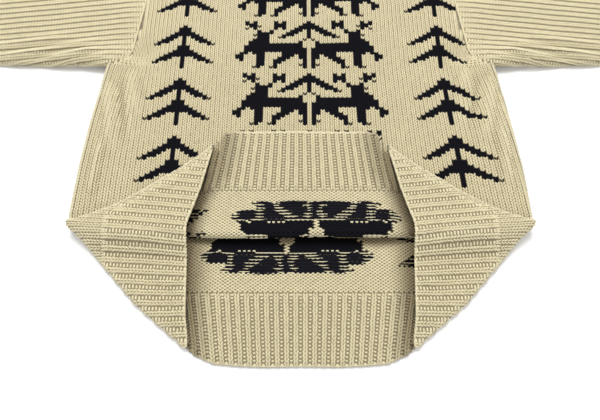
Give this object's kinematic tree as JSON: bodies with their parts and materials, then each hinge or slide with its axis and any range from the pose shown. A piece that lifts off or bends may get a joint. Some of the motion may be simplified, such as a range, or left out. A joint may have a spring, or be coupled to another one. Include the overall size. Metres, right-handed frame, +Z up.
{
  "type": "nordic sweater",
  "caption": "Chunky cream knitted pullover laid flat, front up, hem opened and turned up to show the inside; black reindeer and fir-tree motifs.",
  "frame": {"origin": "middle of the bounding box's underside, on the surface that the sweater lies on", "axes": "+X across the body towards the sleeve at the picture's right, +Y up the garment towards the neck, +Z up from the surface"},
  "size_m": [1.5314, 0.6753, 0.0237],
  "materials": {
    "wool_plain": "matt cream wool, plain knit with black motifs",
    "wool_sleeve": "matt cream wool, wide rib",
    "wool_rib": "matt cream wool, one-by-one rib",
    "wool_black": "matt black wool of the motifs and the strands behind them"
  },
  "bodies": {
    "root": {"back_panel": "wool_plain", "front_panel": "wool_plain", "hem_rib_back": "wool_rib", "hem_rib_front": "wool_rib", "hem_side_left": "wool_rib", "hem_side_right": "wool_rib", "sleeve_left": "wool_sleeve", "sleeve_right": "wool_sleeve", "cuff_left": "wool_rib", "cuff_right": "wool_rib", "neckband_front": "wool_rib", "neckband_back": "wool_rib"}
  },
  "joints": []
}
